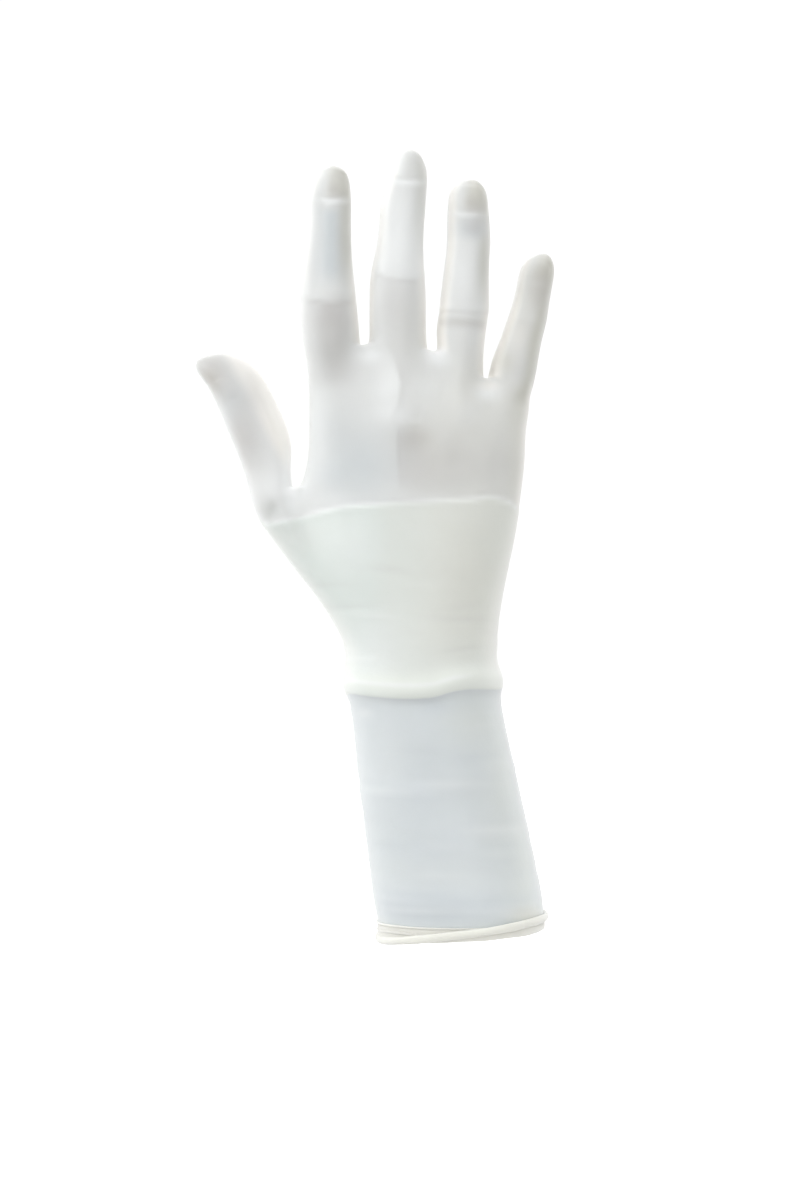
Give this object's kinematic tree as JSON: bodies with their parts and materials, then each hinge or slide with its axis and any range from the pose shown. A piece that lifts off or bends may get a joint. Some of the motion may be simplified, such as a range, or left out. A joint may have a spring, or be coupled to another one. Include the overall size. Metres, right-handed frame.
{
  "type": "surgical glove",
  "caption": "Thin dipped rubber glove for the right hand in its worn form, with spread fingers, a long forearm cuff and a rolled bead at its open end.",
  "frame": {"origin": "middle of the cuff's mouth", "axes": "+Z from the cuff's mouth to the fingertips, -Y towards the back of the hand, +X towards the little finger's side"},
  "size_m": [0.1374, 0.0604, 0.2998],
  "materials": {
    "film": "satin, translucent white",
    "bead": "satin, cream"
  },
  "bodies": {
    "root": {"glove_film": "film", "cuff_bead": "bead"}
  },
  "joints": []
}
